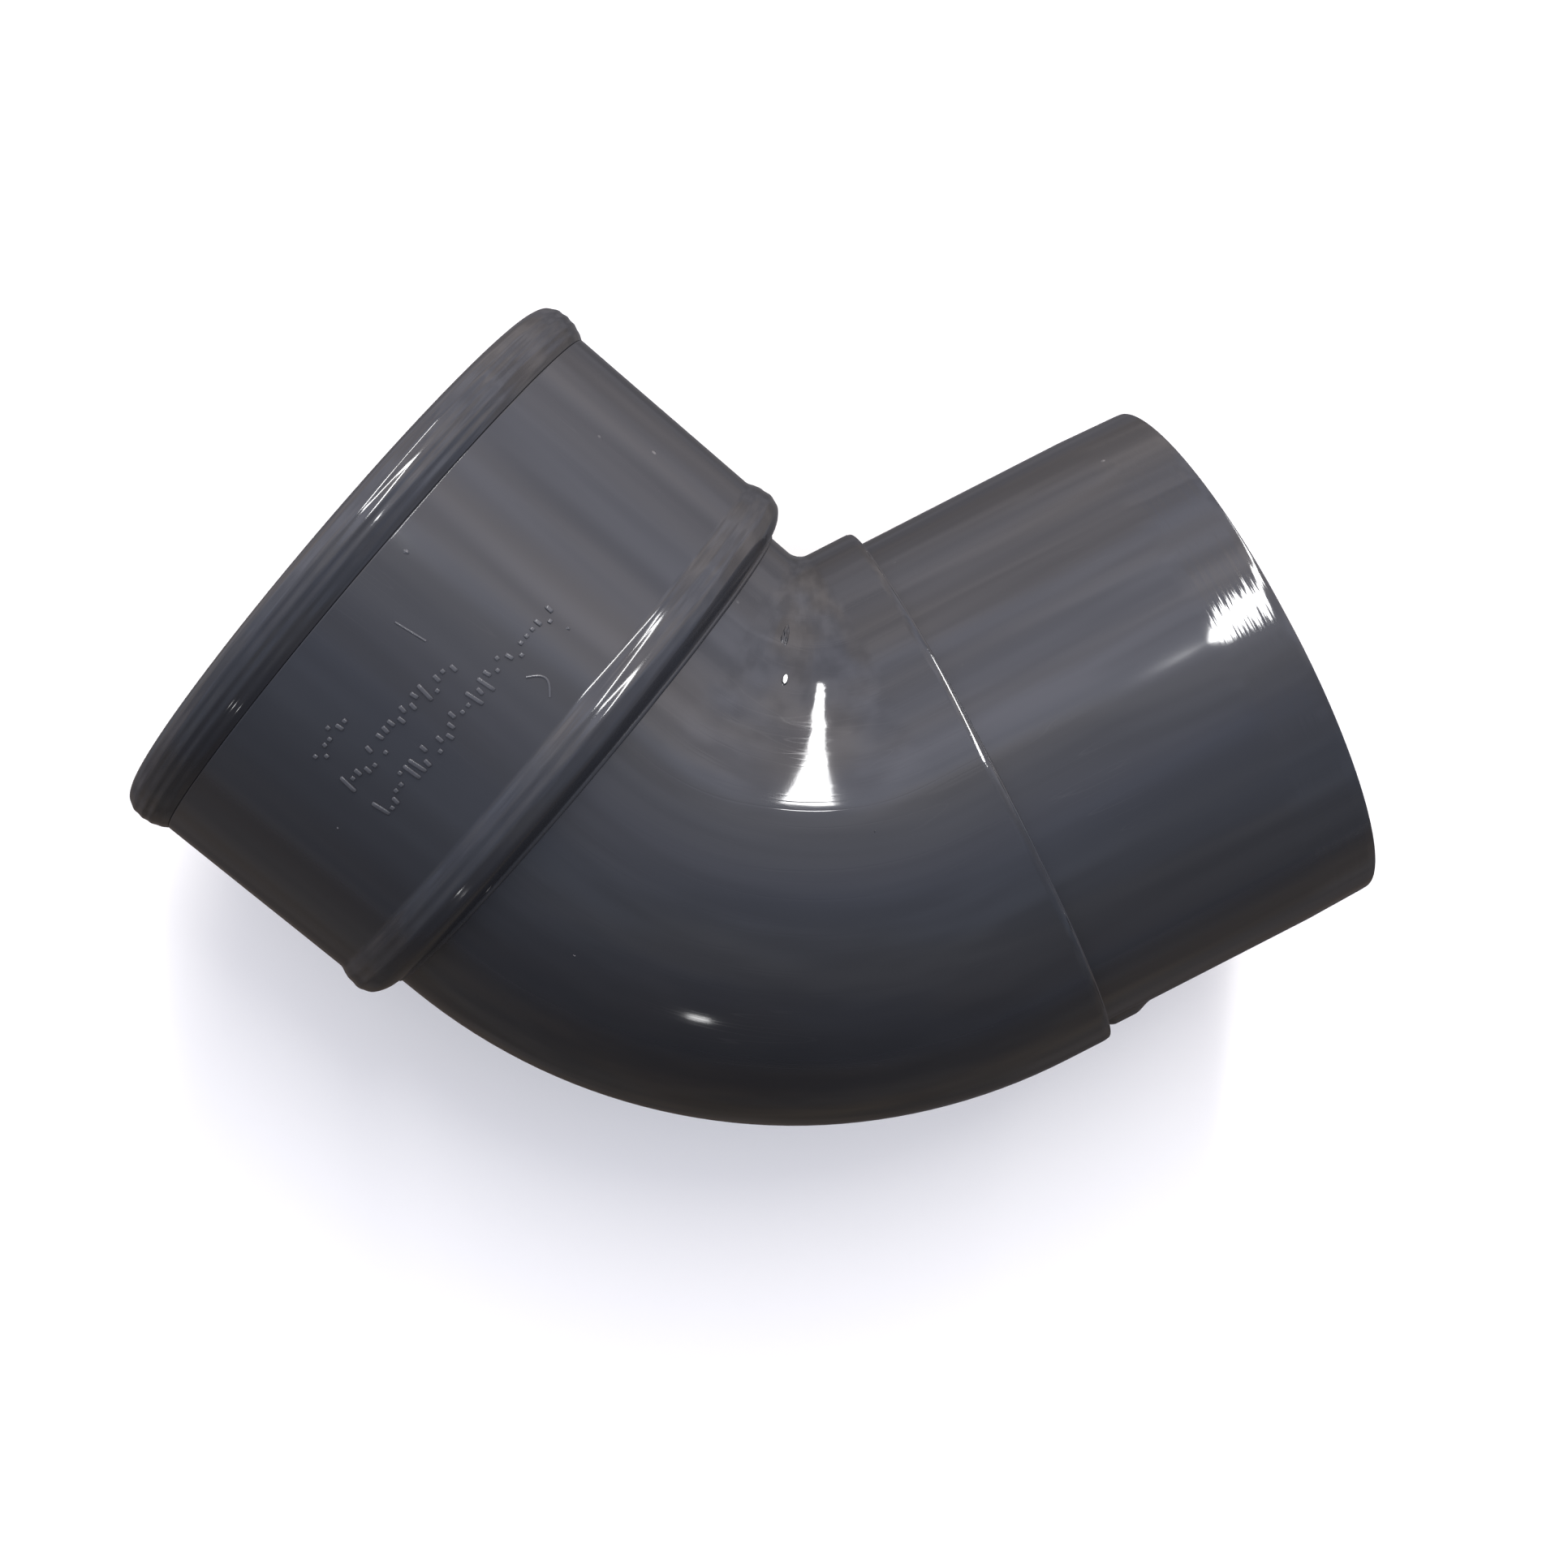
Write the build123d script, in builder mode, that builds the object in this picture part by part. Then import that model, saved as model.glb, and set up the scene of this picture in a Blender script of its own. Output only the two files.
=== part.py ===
"""Offset bend for a 68 mm downpipe: a socket on one arm and a plain spigot on the other.

Frame: the bend lies on its side with its plane of symmetry on XY and +Z up. The origin is on the
socket's axis where the pipe's end comes to rest. The socket opens towards -X, and the spigot
leaves towards +X and +Y. Lengths are millimetres and angles are degrees.
"""
import os
from math import cos, radians, sin

from build123d import *

os.makedirs("parts", exist_ok=True)

# Pipe and bend
pipe_od = 68.0  # the pipe, and the fitting's own spigot
pipe_clearance = 0.25  # pipe to guide bore, on radius
bend_angle = 67.5  # turn of the centre line
throat_radius = 2.4  # outside of the barrel on the inner side of the turn
guide_wall = 1.65  # barrel neck round the guide bore
guide_length = 12.0  # barrel neck past the pipe stop, inside the collar
guide_lead_in = 1.0  # chamfer that leads the pipe into the guide
barrel_wall = 3.0
barrel_tail = 6.0  # straight run from the bend to the barrel's end face
barrel_edge = 0.5  # rounding of that end face
lap_clearance = 0.1  # cemented laps, on radius

# Socket
socket_depth = 37.0  # mouth to pipe stop
base_overlap = 2.0  # collar's base past the pipe stop
socket_standoff = 3.3  # straight barrel between the bend and the collar's base
collar_wall = 3.1
base_bead_width = 6.1
base_bead_height = 0.8  # above the collar
base_land = 0.3  # flat end of the collar beside the barrel

# Retaining ring, which closes the mouth and holds the seal
ring_width = 6.2
ring_height = 1.05  # above the collar
ring_wall = 1.6  # front wall
ring_skirt = 1.1  # edge of the skirt where it meets the collar
ring_nose = 1.9  # how far the front face stops short of the collar's outside, on radius
ring_clearance = 0.1  # skirt over the collar's seat, on radius
mouth_clearance = 0.9  # ring's opening over the pipe, on radius

# Lip seal
seal_flange = 2.0  # thickness along the axis
seal_clearance = 0.1  # seal to collar and ring, on radius
lip_length = 4.5
lip_thickness = 0.7
lip_root = 1.2  # lip's start above the pipe, on radius
lip_gap = 0.05  # lip's tip above the pipe, on radius

# Spigot
spigot_length = 37.2  # barrel's end face to the spigot's end
spigot_wall = 2.0
spigot_lap = 8.0  # length inside the barrel
lap_shoulder = 0.5  # how far the lapped length is turned down, on radius
spigot_edge = 0.8  # rounding of the free end, outside
spigot_inner_edge = 0.4  # rounding of the free end, inside

# Solvent cement squeezed out at the two laps
socket_cement_leg = 0.4
spigot_cement_leg = 0.2

# Radii that follow
pipe_r = pipe_od / 2
guide_r = pipe_r + pipe_clearance
barrel_r = guide_r + guide_wall
bore_r = barrel_r - barrel_wall
bend_radius = barrel_r + throat_radius
collar_bore_r = barrel_r + lap_clearance
collar_r = collar_bore_r + collar_wall
ring_inner_r = collar_r - ring_skirt
seat_r = ring_inner_r - ring_clearance
mouth_r = pipe_r + mouth_clearance
lap_r = pipe_r - lap_shoulder
counterbore_r = lap_r + lap_clearance

# Places along the socket's axis, counted from the pipe stop towards the mouth
base_s = -base_overlap
bend_start_s = base_s - socket_standoff
seat_start_s = socket_depth - ring_width
flange_front_s = socket_depth - ring_wall
collar_end_s = flange_front_s - seal_flange

# Places and directions of the two arms
spigot_dir = Vector(cos(radians(bend_angle)), sin(radians(bend_angle)), 0)
bend_centre = Vector(-bend_start_s, bend_radius, 0)
bend_end = bend_centre + Vector(spigot_dir.Y, -spigot_dir.X, 0) * bend_radius
step_centre = bend_end + spigot_dir * barrel_tail

socket_plane = Plane(origin=(0, 0, 0), x_dir=(-1, 0, 0), z_dir=(0, 0, -1))
spigot_plane = Plane(origin=step_centre, x_dir=spigot_dir, z_dir=(0, 0, 1))
step_plane = Plane(origin=step_centre, z_dir=spigot_dir)
socket_axis = Axis.X
spigot_axis = Axis(step_centre, spigot_dir)


# Bent barrel: one tube swept through the turn, with the pipe's guide at one end and the
# spigot's lap at the other
with BuildPart() as bend_barrel:
    with BuildLine() as centre_line:
        neck = Line((-guide_length, 0), (-bend_start_s, 0))
        turn = JernArc(neck @ 1, neck % 1, bend_radius, bend_angle)
        Line(turn @ 1, step_centre)
    with BuildSketch(Plane(origin=neck @ 0, z_dir=neck % 0)) as tube_section:
        Circle(barrel_r)
        Circle(bore_r, mode=Mode.SUBTRACT)
    sweep()
    with BuildSketch(Plane.YZ) as guide_section:
        Circle(guide_r)
    extrude(amount=-guide_length, mode=Mode.SUBTRACT)
    with BuildSketch(step_plane) as lap_section:
        Circle(counterbore_r)
    extrude(amount=-spigot_lap, mode=Mode.SUBTRACT)
    neck_rims = bend_barrel.edges().filter_by(GeomType.CIRCLE).group_by(Axis.X)[0]
    chamfer(neck_rims.sort_by(SortBy.RADIUS)[0], guide_lead_in)
    end_face = bend_barrel.faces().filter_by(GeomType.PLANE).sort_by(spigot_axis)[-1]
    fillet(end_face.edges().sort_by(SortBy.RADIUS)[-1], barrel_edge)
bend_barrel.part.label = "bend_barrel"
export_step(bend_barrel.part, "parts/bend_barrel.step")


# Socket collar: a sleeve with a rolled bead at its base and a turned-down seat at its mouth end
with BuildPart() as socket_collar:
    with BuildSketch(socket_plane) as collar_profile:
        with BuildLine() as collar_outline:
            crest_s = base_s + base_bead_width / 2
            crest_r = collar_r + base_bead_height
            foot = (base_s, collar_bore_r + base_land)
            crest = (crest_s, crest_r)
            bead_end = (base_s + base_bead_width, collar_r)
            EllipticalCenterArc(
                (crest_s, foot[1]), base_bead_width / 2, crest_r - foot[1], start_angle=90, arc_size=90
            )
            TangentArc(crest, bead_end, tangent=(1, 0))
            Polyline(
                bead_end,
                (seat_start_s, collar_r),
                (seat_start_s, seat_r),
                (collar_end_s, seat_r),
                (collar_end_s, collar_bore_r),
                (base_s, collar_bore_r),
                foot,
            )
        make_face()
    revolve(axis=socket_axis)
socket_collar.part.label = "socket_collar"
export_step(socket_collar.part, "parts/socket_collar.step")


# Retaining ring: the rolled bead at the mouth, with a skirt over the collar's seat and a front
# wall over the seal
with BuildPart() as retaining_ring:
    with BuildSketch(socket_plane) as ring_profile:
        with BuildLine() as ring_outline:
            ring_crest = (seat_start_s + ring_width / 2, collar_r + ring_height)
            nose_r = collar_r - ring_nose
            skirt_edge = (seat_start_s, collar_r)
            TangentArc(ring_crest, skirt_edge, tangent=(-1, 0))
            EllipticalCenterArc(
                (ring_crest[0], nose_r), ring_width / 2, ring_crest[1] - nose_r, start_angle=0, arc_size=90
            )
            Polyline(
                skirt_edge,
                (seat_start_s, ring_inner_r),
                (flange_front_s, ring_inner_r),
                (flange_front_s, mouth_r),
                (socket_depth, mouth_r),
                (socket_depth, nose_r),
            )
        make_face()
    revolve(axis=socket_axis)
retaining_ring.part.label = "retaining_ring"
export_step(retaining_ring.part, "parts/retaining_ring.step")


# Lip seal: a flange clamped between collar and ring, and a lip that leans in to the pipe
with BuildPart() as lip_seal:
    with BuildSketch(socket_plane) as seal_profile:
        with BuildLine() as seal_outline:
            tip_s = collar_end_s - lip_length
            tip_r = pipe_r + lip_gap
            Polyline(
                (flange_front_s, pipe_r + lip_root),
                (flange_front_s, seat_r - seal_clearance),
                (collar_end_s, seat_r - seal_clearance),
                (collar_end_s, collar_bore_r - seal_clearance),
                (tip_s, tip_r + lip_thickness),
                (tip_s, tip_r),
                close=True,
            )
        make_face()
    revolve(axis=socket_axis)
    tip_edges = lip_seal.edges().filter_by(GeomType.CIRCLE).group_by(Axis.X)[-1]
    fillet(tip_edges, lip_thickness / 3)
lip_seal.part.label = "lip_seal"
export_step(lip_seal.part, "parts/lip_seal.step")


# Spigot stub: a plain tube of the pipe's size, turned down a little where it laps into the barrel
with BuildPart() as spigot_stub:
    with BuildSketch(step_plane) as stub_section:
        Circle(pipe_r)
    extrude(amount=spigot_length)
    with BuildSketch(step_plane) as lapped_section:
        Circle(lap_r)
    extrude(amount=-spigot_lap)
    with BuildSketch(step_plane) as stub_bore:
        Circle(pipe_r - spigot_wall)
    extrude(amount=spigot_length, mode=Mode.SUBTRACT)
    extrude(stub_bore.sketch, amount=-spigot_lap, mode=Mode.SUBTRACT)
    free_rims = spigot_stub.edges().filter_by(GeomType.CIRCLE).group_by(spigot_axis)[-1]
    inner_rim, outer_rim = free_rims.sort_by(SortBy.RADIUS)
    fillet(outer_rim, spigot_edge)
    fillet(inner_rim, spigot_inner_edge)
spigot_stub.part.label = "spigot_stub"
export_step(spigot_stub.part, "parts/spigot_stub.step")


# Cement squeezed out round the collar's base
with BuildPart() as socket_cement:
    with BuildSketch(socket_plane) as socket_cement_profile:
        with BuildLine() as socket_cement_outline:
            Polyline(
                (base_s - socket_cement_leg, barrel_r),
                (base_s, barrel_r),
                (base_s, barrel_r + socket_cement_leg),
                close=True,
            )
        make_face()
    revolve(axis=socket_axis)
socket_cement.part.label = "socket_cement"
export_step(socket_cement.part, "parts/socket_cement.step")


# Cement squeezed out where the spigot leaves the barrel
with BuildPart() as spigot_cement:
    with BuildSketch(spigot_plane) as spigot_cement_profile:
        with BuildLine() as spigot_cement_outline:
            Polyline(
                (0, pipe_r + spigot_cement_leg),
                (0, pipe_r),
                (spigot_cement_leg, pipe_r),
                close=True,
            )
        make_face()
    revolve(axis=spigot_axis)
spigot_cement.part.label = "spigot_cement"
export_step(spigot_cement.part, "parts/spigot_cement.step")
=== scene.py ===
"""Looks of a 67.5 degree offset bend for a 68 mm downpipe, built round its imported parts.

Blender lengths are metres in the parts' own frame; the sizes of the maker's classes are
millimetres. Most shapes are turned walls: a closed section of (station, radius) points carried
round the pipe's path. A station is counted along the path from the pipe stop, negative into the
socket. Angles round the path start on the throat side and pass over the top at 90 degrees.
"""

import logging
import math
from collections.abc import Callable, Iterable, Mapping, Sequence
from dataclasses import dataclass, field
from enum import Enum
from typing import ClassVar, NamedTuple

import bmesh
import bpy
from bpy.types import Material, Mesh, NodeSocket, Object
from mathutils import Matrix, Vector, noise


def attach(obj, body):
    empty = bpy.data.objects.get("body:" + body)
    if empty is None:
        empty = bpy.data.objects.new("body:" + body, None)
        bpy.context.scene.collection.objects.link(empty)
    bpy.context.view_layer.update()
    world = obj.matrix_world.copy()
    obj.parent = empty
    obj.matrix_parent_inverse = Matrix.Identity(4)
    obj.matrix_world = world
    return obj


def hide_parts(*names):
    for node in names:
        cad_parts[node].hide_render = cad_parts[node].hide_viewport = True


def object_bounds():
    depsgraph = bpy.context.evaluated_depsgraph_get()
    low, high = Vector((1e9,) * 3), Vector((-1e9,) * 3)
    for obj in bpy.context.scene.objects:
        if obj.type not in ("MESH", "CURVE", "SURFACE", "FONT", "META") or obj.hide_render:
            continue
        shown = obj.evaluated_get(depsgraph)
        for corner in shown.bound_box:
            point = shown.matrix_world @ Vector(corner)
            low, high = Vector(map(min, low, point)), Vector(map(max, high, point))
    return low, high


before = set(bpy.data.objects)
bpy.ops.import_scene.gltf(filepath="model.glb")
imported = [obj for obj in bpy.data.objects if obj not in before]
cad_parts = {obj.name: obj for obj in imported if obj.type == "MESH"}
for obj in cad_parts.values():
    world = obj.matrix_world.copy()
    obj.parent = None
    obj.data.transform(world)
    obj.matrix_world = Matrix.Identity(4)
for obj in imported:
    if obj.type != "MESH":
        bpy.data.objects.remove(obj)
cad_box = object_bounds()

MM = 0.001
TUBE_PLACE = "tube_place"
SEAM_GAP = 1e-6
Colour = tuple[float, float, float]
log = logging.getLogger("offset_bend")


class Body(Enum):
    """The moving bodies that pieces ride on."""

    FITTING = "fitting"
    RING = "ring"
    SEAL = "seal"


class Slot(Enum):
    """The record's material slots."""

    BARREL = "pvc_barrel"
    COLLAR = "pvc_collar"
    SPIGOT = "pvc_spigot"
    RING = "pvc_ring"
    SEAL = "seal_rubber"
    CEMENT = "cement"


class Spread(Enum):
    """How a surface pattern is drawn out on a turned wall: along the pipe or round it."""

    ALONG_PIPE = (0.035, 1.0, 1.0)
    ROUND_PIPE = (1.0, 0.06, 0.06)


# --- Node trees ---


def math_node(operation: str, reflected: bool = False) -> Callable[..., "Signal"]:
    """Make a method of Signal that adds one Math node.

    Args:
        operation: The node's operation.
        reflected: Whether the signal comes after the other term.

    Returns:
        The method, which takes the other term where the operation has one.
    """

    def method(self: "Signal", *others: "Signal | float") -> "Signal":
        """Add the Math node over the signal and the other term."""
        terms = (*others, self) if reflected else (self, *others)
        return self.graph.node("ShaderNodeMath", {"operation": operation}, dict(enumerate(terms)))

    return method


@dataclass(frozen=True)
class Signal:
    """An output socket that Python arithmetic extends with Math nodes."""

    graph: "Graph"
    socket: NodeSocket

    __add__, __radd__ = math_node("ADD"), math_node("ADD", True)
    __sub__, __rsub__ = math_node("SUBTRACT"), math_node("SUBTRACT", True)
    __mul__, __rmul__ = math_node("MULTIPLY"), math_node("MULTIPLY", True)
    __truediv__, __rtruediv__ = math_node("DIVIDE"), math_node("DIVIDE", True)
    __mod__, __abs__ = math_node("MODULO"), math_node("ABSOLUTE")
    __gt__, __lt__ = math_node("GREATER_THAN"), math_node("LESS_THAN")
    at_most, at_least = math_node("MINIMUM"), math_node("MAXIMUM")
    floor, exponential = math_node("FLOOR"), math_node("EXPONENT")
    sine, cosine = math_node("SINE"), math_node("COSINE")

    def fade(self, start: float, end: float) -> "Signal":
        """Rise smoothly from 0 to 1.

        Args:
            start: The value that gives 0.
            end: The value that gives 1; below start, the fade runs the other way.

        Returns:
            The faded signal.
        """
        low, high = min(start, end), max(start, end)
        risen = self.graph.node(
            "ShaderNodeMapRange",
            {"interpolation_type": "SMOOTHSTEP"},
            {"Value": self, "From Min": low, "From Max": high},
        )
        return risen if start < end else 1 - risen


class Graph:
    """A shader or geometry tree under construction."""

    def __init__(self, tree: bpy.types.NodeTree) -> None:
        """Empty the tree and keep it."""
        self.tree = tree
        tree.nodes.clear()

    def node(
        self,
        kind: str,
        settings: Mapping[str, object] | None = None,
        inputs: Mapping[int | str, object] | None = None,
        out: int | str = 0,
    ) -> Signal:
        """Add a node.

        Args:
            kind: The node's type name.
            settings: Its properties, set first; "stops" are a ramp's (position, colour) pairs.
            inputs: Values or signals, by socket name or index.
            out: The output to return, by name or index.

        Returns:
            The output as a signal; a node with no outputs gives its first input.
        """
        made = self.tree.nodes.new(kind)
        for name, value in (settings or {}).items():
            if name != "stops":
                setattr(made, name, value)
                continue
            stops = made.color_ramp.elements
            while len(stops) < len(value):
                stops.new(1.0)
            for stop, (position, colour) in zip(stops, value):
                stop.position, stop.color = position, (*colour, 1.0)
        for key, value in (inputs or {}).items():
            socket = self._socket(made.inputs, key)
            if isinstance(value, Signal):
                self.tree.links.new(value.socket, socket)
            else:
                socket.default_value = value
        return Signal(self, self._socket(made.outputs or made.inputs, out))

    @staticmethod
    def _socket(sockets: Iterable[NodeSocket], key: int | str) -> NodeSocket:
        """Find a socket by index, or by name among the enabled ones."""
        named = (s for s in sockets if s.name == key and s.enabled)
        return sockets[key] if isinstance(key, int) else next(named)

    def parts(self, vector: Signal) -> list[Signal]:
        """Split a vector into its three numbers."""
        split = self.node("ShaderNodeSeparateXYZ", None, {0: vector})
        return [Signal(self, output) for output in split.socket.node.outputs]

    def vector(self, x: Signal | float, y: Signal | float, z: Signal | float) -> Signal:
        """Join three numbers to a vector."""
        return self.node("ShaderNodeCombineXYZ", None, {0: x, 1: y, 2: z})

    def over_vectors(self, operation: str, first: Signal, other: Signal | Vector, out: str) -> Signal:
        """Add a Vector Math node over two vectors."""
        term = other if isinstance(other, Signal) else tuple(other)
        return self.node("ShaderNodeVectorMath", {"operation": operation}, {0: first, 1: term}, out)

    def stretch(self, place: Signal, scale: Sequence[float], turn: Sequence[float] = (0, 0, 0)) -> Signal:
        """Turn and scale a place, so that a pattern on it is drawn out."""
        return self.node("ShaderNodeMapping", None, {"Vector": place, "Rotation": turn, "Scale": scale})

    def noise(self, place: Signal, scale: float, detail: float, seed: Signal | float) -> Signal:
        """Return smooth noise between 0 and 1 at a place, from a fixed seed."""
        inputs = {"Vector": place, "Scale": scale, "Detail": detail, "W": seed}
        return self.node("ShaderNodeTexNoise", {"noise_dimensions": "4D"}, inputs)

    def cells(self, place: Signal, scale: float) -> Signal:
        """Return the distance to the nearest of scattered points, in cells."""
        return self.node("ShaderNodeTexVoronoi", {"feature": "F1"}, {"Vector": place, "Scale": scale})

    def mix(self, factor: Signal | float, start: Signal | Colour, end: Signal | Colour) -> Signal:
        """Mix two colours."""
        ends = [colour if isinstance(colour, Signal) else (*colour, 1.0) for colour in (start, end)]
        return self.node("ShaderNodeMix", {"data_type": "RGBA"}, {0: factor, 6: ends[0], 7: ends[1]}, 2)


class GeometryTree(Graph):
    """A Geometry Nodes tree with named inputs, which is baked to a plain mesh."""

    def __init__(self, name: str, floats: Sequence[str], ints: Sequence[str]) -> None:
        """Start a tree, which also takes a geometry and a finish.

        Args:
            name: The tree's name.
            floats: The names of the inputs that are numbers.
            ints: The names of the inputs that are whole numbers.
        """
        super().__init__(bpy.data.node_groups.new(name, "GeometryNodeTree"))
        kinds = {"Geometry": "Geometry"} | dict.fromkeys(ints, "Int") | dict.fromkeys(floats, "Float")
        face = self.tree.interface
        for label, kind in (kinds | {"Finish": "Material"}).items():
            face.new_socket(label, in_out="INPUT", socket_type=f"NodeSocket{kind}")
        face.new_socket("Geometry", in_out="OUTPUT", socket_type="NodeSocketGeometry")
        self.start = self.tree.nodes.new("NodeGroupInput")

    def given(self, *names: str) -> list[Signal]:
        """Return some of the tree's named inputs."""
        return [Signal(self, self.start.outputs[name]) for name in names]

    def note_place(self, geometry: Signal, place: Signal) -> Signal:
        """Store each point's place on the unbent pipe, which the finishes read."""
        settings = {"data_type": "FLOAT_VECTOR", "domain": "POINT"}
        inputs = {"Geometry": geometry, "Name": TUBE_PLACE, "Value": place}
        return self.node("GeometryNodeStoreNamedAttribute", settings, inputs)

    def end(self, geometry: Signal) -> None:
        """Close the tree: merge seams, shade smooth, realise instances and set the finish.

        Args:
            geometry: What the tree has made.
        """
        (finish,) = self.given("Finish")
        for kind, more in (
            ("GeometryNodeMergeByDistance", {"Distance": SEAM_GAP}),
            ("GeometryNodeSetShadeSmooth", {}),
            ("GeometryNodeRealizeInstances", {}),
            ("GeometryNodeSetMaterial", {"Material": finish}),
        ):
            geometry = self.node(kind, None, {"Geometry": geometry, **more})
        self.node("NodeGroupOutput", None, {"Geometry": geometry})

    def bake(self, name: str, source: Mesh, values: Mapping[str, object]) -> Object:
        """Run the tree on a mesh and keep the result as a plain mesh.

        Args:
            name: The piece's name.
            source: The mesh that the tree starts from.
            values: The tree's inputs, by name.

        Returns:
            The piece, without modifiers.
        """
        piece = in_scene(name, source)
        maker = piece.modifiers.new("maker", "NODES")
        maker.node_group = self.tree
        for item in self.tree.interface.items_tree:
            if item.in_out == "INPUT" and item.name in values:
                maker[item.identifier] = values[item.name]
        ready = bpy.context.evaluated_depsgraph_get()
        result = bpy.data.meshes.new_from_object(
            piece.evaluated_get(ready), preserve_all_data_layers=True, depsgraph=ready
        )
        piece.modifiers.clear()
        piece.data = result
        result.name = name
        turn_faces_out(result)
        return piece


# --- Meshes ---


def turn_faces_out(mesh: Mesh) -> None:
    """Make every closed part's faces point outwards.

    Args:
        mesh: The mesh to change.
    """
    work = bmesh.new()
    work.from_mesh(mesh)
    bmesh.ops.recalc_face_normals(work, faces=work.faces)
    work.to_mesh(mesh)
    work.free()


def mesh_of(name: str, points: Sequence, faces: Sequence = (), edges: Sequence = ()) -> Mesh:
    """Make a mesh.

    Args:
        name: The mesh's name.
        points: Its points, in metres.
        faces: Its faces, as indices of the points.
        edges: Its loose edges, as indices of the points.

    Returns:
        The mesh.
    """
    mesh = bpy.data.meshes.new(name)
    mesh.from_pydata([tuple(p) for p in points], list(edges), list(faces))
    return mesh


def in_scene(name: str, data: bpy.types.ID) -> Object:
    """Put a mesh, a light or a camera in the scene.

    Args:
        name: The object's name.
        data: What it shows.

    Returns:
        The object, at the origin.
    """
    made = bpy.data.objects.new(name, data)
    bpy.context.scene.collection.objects.link(made)
    return made


@dataclass(frozen=True)
class PipePath:
    """The centre line: straight through the socket, round the turn, straight into the spigot."""

    bend_start: float = 5.3
    bend_radius: float = 38.3
    bend_angle: float = math.radians(67.5)

    def turn_length(self) -> float:
        """Return the length of the turn along the centre line."""
        return self.bend_radius * self.bend_angle

    def at(self, station: float, radius: float, angle: float) -> Vector:
        """Return a point beside the path.

        Args:
            station: Distance along the path in millimetres.
            radius: Distance from the path in millimetres.
            angle: Radians round the path, from the throat side over the top.

        Returns:
            The point in metres.
        """
        turned = min(max((station - self.bend_start) / self.bend_radius, 0.0), self.bend_angle)
        before = min(station, self.bend_start)
        after = max(station - self.bend_start - self.turn_length(), 0.0)
        sideways = radius * math.cos(angle)
        x = before + (self.bend_radius - sideways) * math.sin(turned) + after * math.cos(turned)
        y = self.bend_radius - (self.bend_radius - sideways) * math.cos(turned) + after * math.sin(turned)
        return Vector((x, y, radius * math.sin(angle))) * MM


PATH = PipePath()
BARREL_TAIL = 6.0
STEP_STATION = PATH.bend_start + PATH.turn_length() + BARREL_TAIL

# How finely sections are drawn. A rounding takes up at most a share of the edges beside it, and a
# point close to each end of it, in millimetres, holds the wall beyond it flat.
ARC_STEPS = 26
ROUNDING_STEPS = 6
MOST_CUT = 0.42
SUPPORT = 0.06
LEAST_SUPPORT = 0.02


@dataclass(frozen=True)
class Corner:
    """A corner of a wall's section."""

    station: float
    radius: float
    rounding: float = 0.15

    def place(self) -> Vector:
        """Return the corner as a flat vector in millimetres."""
        return Vector((self.station, self.radius))


def rippled(corners: Sequence[Corner], depth: float, pitch: float, start: float) -> list[Corner]:
    """Lay shallow rolling ridges over a row of unrounded corners.

    Args:
        corners: The corners of a rolled bead.
        depth: How far a ridge stands over its valleys, in millimetres.
        pitch: From ridge to ridge.
        start: The station of one ridge.

    Returns:
        The corners with their ridges, which fade out at both ends of the row.
    """
    last = max(len(corners) - 1, 1)
    made = []
    for k, corner in enumerate(corners):
        ends = math.sin(math.pi * k / last) ** 0.5
        wave = math.cos(math.tau * (corner.station - start) / pitch)
        made.append(Corner(corner.station, corner.radius + ends * depth * (wave - 1) / 2, corner.rounding))
    return made


def arc(
    station: float,
    radius: float,
    half_long: float,
    height: float,
    start: float,
    end: float,
    fullness: float = 2.0,
) -> list[Corner]:
    """Draw part of an ellipse as unrounded corners.

    Args:
        station: The centre's station.
        radius: The centre's radius.
        half_long: Half axis along the pipe.
        height: Half axis away from the pipe.
        start: First angle in degrees; 0 points along the path and 90 away from it.
        end: Last angle in degrees.
        fullness: 2 gives an ellipse, and more gives fuller shoulders.

    Returns:
        The corners from start to end.
    """
    made = []
    for k in range(ARC_STEPS + 1):
        angle = math.radians(start + (end - start) * k / ARC_STEPS)
        along, out = math.cos(angle), math.sin(angle)
        along = math.copysign(abs(along) ** (2 / fullness), along)
        out = math.copysign(abs(out) ** (2 / fullness), out)
        made.append(Corner(station + half_long * along, radius + height * out, 0.0))
    return made


def section_mesh(name: str, corners: Sequence[Corner], longest: float = 1.2) -> Mesh:
    """Turn a closed row of corners into a section for the turned wall tree.

    Args:
        name: The mesh's name.
        corners: The corners in order.
        longest: The longest edge that is left undivided, in millimetres.

    Returns:
        A mesh of points alone, with x as station and y as radius, in metres.
    """
    points: list[Vector] = []
    for k, corner in enumerate(corners):
        here = corner.place()
        back = corners[k - 1].place() - here
        on = corners[(k + 1) % len(corners)].place() - here
        cut = min(corner.rounding, MOST_CUT * back.length, MOST_CUT * on.length)
        if cut <= 0:
            points.append(here)
            continue
        first, last = here + back.normalized() * cut, here + on.normalized() * cut
        edge = min(SUPPORT, 0.1 * cut + LEAST_SUPPORT)
        points.append(first + back.normalized() * edge)
        for step in range(ROUNDING_STEPS + 1):
            t = step / ROUNDING_STEPS
            points.append(first * (1 - t) ** 2 + here * 2 * t * (1 - t) + last * t * t)
        points.append(last + on.normalized() * edge)
    fine: list[Vector] = []
    for k, point in enumerate(points):
        after = points[(k + 1) % len(points)]
        pieces = max(1, math.ceil((after - point).length / longest))
        fine += [point.lerp(after, j / pieces) for j in range(pieces)]
    return mesh_of(name, [(p.x * MM, p.y * MM, 0.0) for p in fine])


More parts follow.
